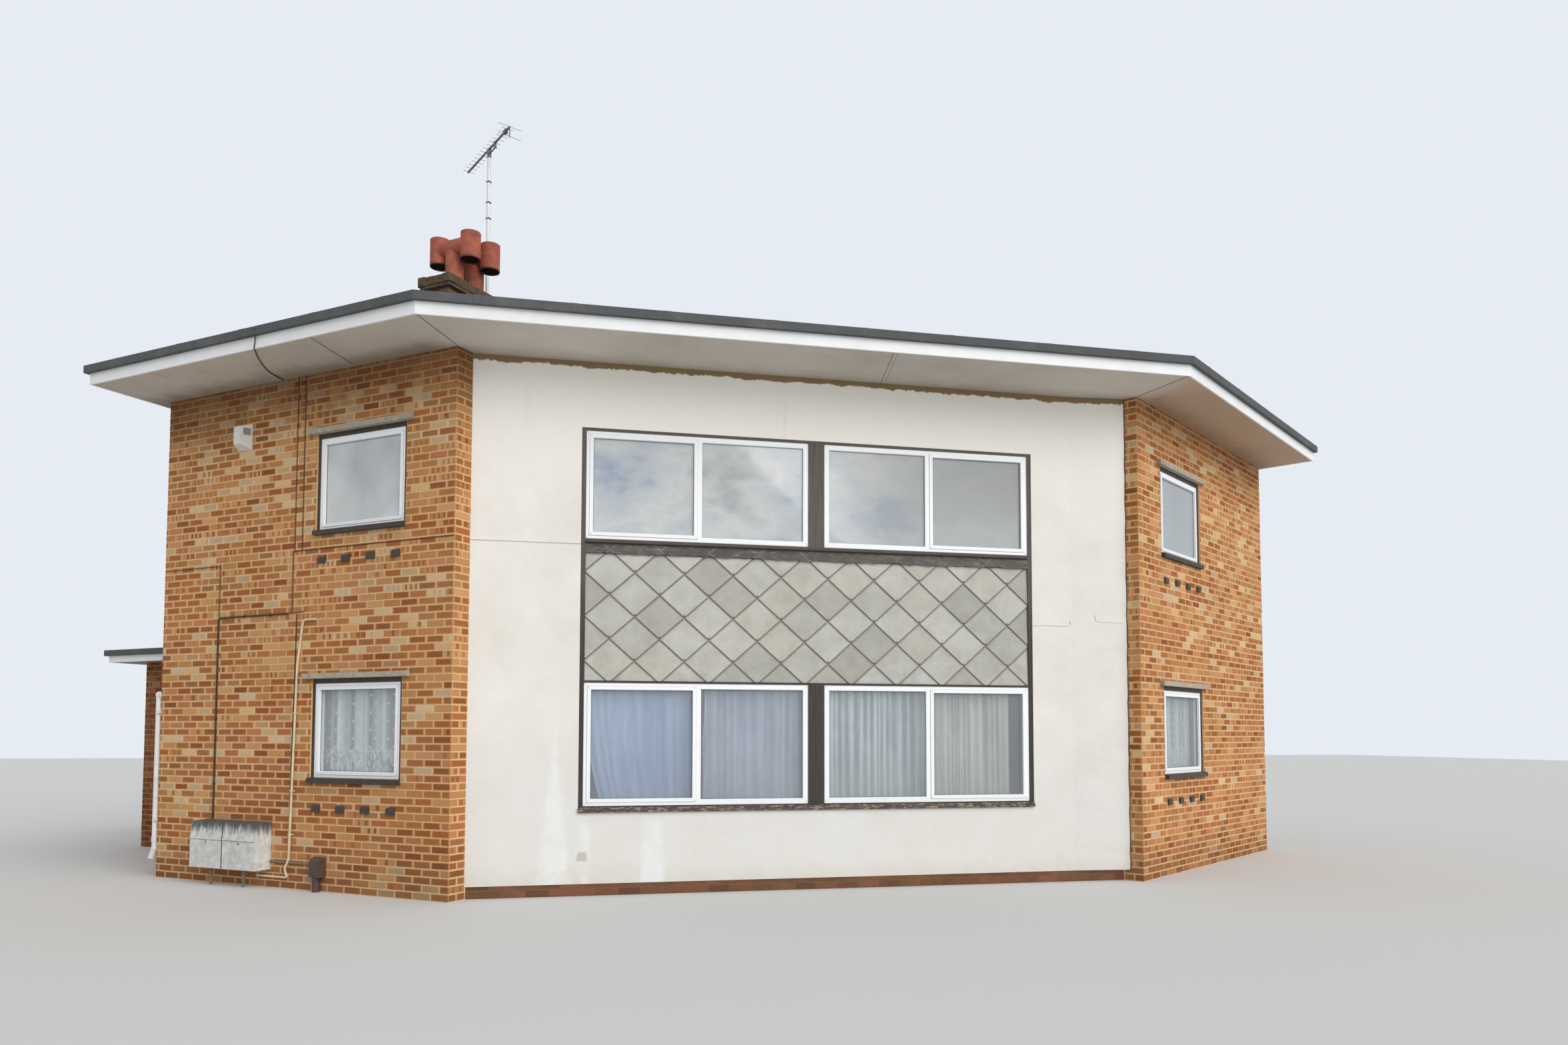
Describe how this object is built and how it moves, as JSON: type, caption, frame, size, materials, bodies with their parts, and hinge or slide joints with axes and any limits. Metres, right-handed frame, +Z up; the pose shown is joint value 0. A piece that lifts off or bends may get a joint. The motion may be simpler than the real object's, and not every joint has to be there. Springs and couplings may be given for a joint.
{
  "type": "corner building",
  "caption": "Two-storey flat-roofed brick corner building with a rendered, slate-hung canted front between two swept-back wings, deep eaves and a chimney.",
  "frame": {"origin": "on the level the walls stand on, midway between the front of the corner's quoins and the back wall, on the building's middle plane", "axes": "+X to the right along the canted front as seen from the street, -Y out of the front towards the street, +Z up"},
  "size_m": [16.4374, 8.9114, 9.0438],
  "materials": {
    "brick": "rough",
    "plinth_brick": "rough",
    "render": "rough",
    "concrete": "rough",
    "inside_plaster": "matte",
    "soffit_board": "painted",
    "white_upvc": "satin",
    "felt": "rough",
    "dark_timber": "weathered",
    "glass": "polished",
    "slate": "rough",
    "lead": "dull",
    "curtain_net": "woven",
    "blind": "woven",
    "dark_plastic": "matte",
    "terracotta": "rough",
    "galvanised": "dull",
    "grey_plastic": "weathered",
    "cream_plastic": "matte",
    "painted_door": "painted"
  },
  "bodies": {
    "root": {"ground_floor": "concrete", "first_floor": "inside_plaster", "left_wing_wall": "brick", "right_wing_wall": "brick", "corner_wall": "render", "corner_plinth": "plinth_brick", "left_side_wall": "brick", "right_party_wall": "brick", "back_wall": "brick", "roof_deck": "soffit_board", "soffit_boards": "soffit_board", "fascia_boards": "white_upvc", "felt_roof": "felt", "corner_frame": "dark_timber", "corner_sills": "dark_timber", "upper_left_window": "white_upvc", "upper_right_window": "white_upvc", "lower_left_window": "white_upvc", "lower_right_window": "white_upvc", "upper_corner_glass": "glass", "lower_corner_glass": "glass", "slate_panel": "slate", "lead_flashing": "lead", "window_hoods": "concrete", "window_sills": "dark_timber", "window_subframes": "dark_timber", "left_wing_windows": "white_upvc", "right_wing_windows": "white_upvc", "rear_windows": "white_upvc", "wing_glass": "glass", "rear_glass": "glass", "corner_curtains": "curtain_net", "wing_curtains": "curtain_net", "corner_blinds": "blind", "left_vent_caps": "dark_plastic", "right_vent_caps": "dark_plastic", "chimney_stack": "brick", "chimney_cap": "concrete", "chimney_pots": "terracotta", "aerial_mast": "galvanised", "aerial": "galvanised", "store_walls": "brick", "store_roof": "soffit_board", "store_fascia": "white_upvc", "store_felt": "felt", "store_door": "painted_door", "store_door_frame": "white_upvc", "meter_boxes": "grey_plastic", "meter_box_legs": "dark_timber", "alarm_box": "white_upvc", "brown_pipe": "dark_plastic", "surface_cables": "dark_plastic", "cream_pipe": "cream_plastic", "low_cowl": "dark_plastic", "downpipe": "white_upvc"}
  },
  "joints": []
}
